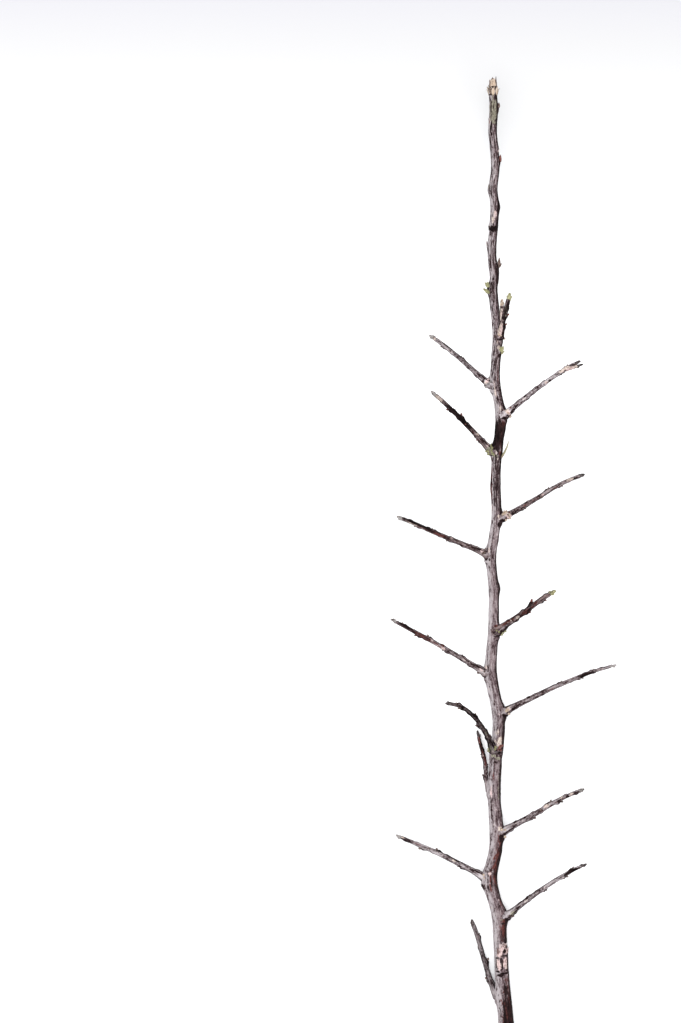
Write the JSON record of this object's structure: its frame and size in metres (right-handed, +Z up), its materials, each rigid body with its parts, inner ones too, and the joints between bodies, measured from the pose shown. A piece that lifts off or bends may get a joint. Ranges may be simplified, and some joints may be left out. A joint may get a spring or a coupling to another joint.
{
  "type": "willow twig",
  "caption": "Bare woody twig in winter, lying flat: a long straight stem with short side shoots and small buds.",
  "frame": {"origin": "middle of the twig's footprint, on the surface it lies on", "axes": "+Y from the cut end to the tip, +X to the twig's right seen from above, +Z up"},
  "size_m": [0.1135, 0.4958, 0.0317],
  "materials": {
    "bark": "matt grey-mauve bark, finely fissured",
    "bud": "matt yellow-green and cream bud scales"
  },
  "bodies": {
    "root": {"apex_bud": "bud", "apex_scale_left": "bud", "apex_scale_right": "bud", "awn": "bud", "back_left_tip_bud": "bud", "front_left_tip_bud": "bud", "left_1_tip_bud": "bud", "left_2_tip_bud": "bud", "left_3_tip_bud": "bud", "left_4_tip_bud": "bud", "left_5_tip_bud": "bud", "left_6_tip_bud": "bud", "right_1_tip_bud": "bud", "right_2_tip_bud": "bud", "right_3_tip_bud": "bud", "right_4_tip_bud": "bud", "right_5_tip_bud": "bud", "right_6_prong_tip_bud": "bud", "right_6_tip_bud": "bud", "right_7_prong_tip_bud": "bud", "right_7_tip_bud": "bud", "stem_and_shoots": "bark", "stem_bud_1": "bud", "stem_bud_2": "bud", "stem_bud_3": "bud", "stem_bud_4": "bud", "stem_bud_5": "bud", "stem_bud_6": "bud", "stem_bud_7": "bud", "stem_bud_8": "bud"}
  },
  "joints": []
}
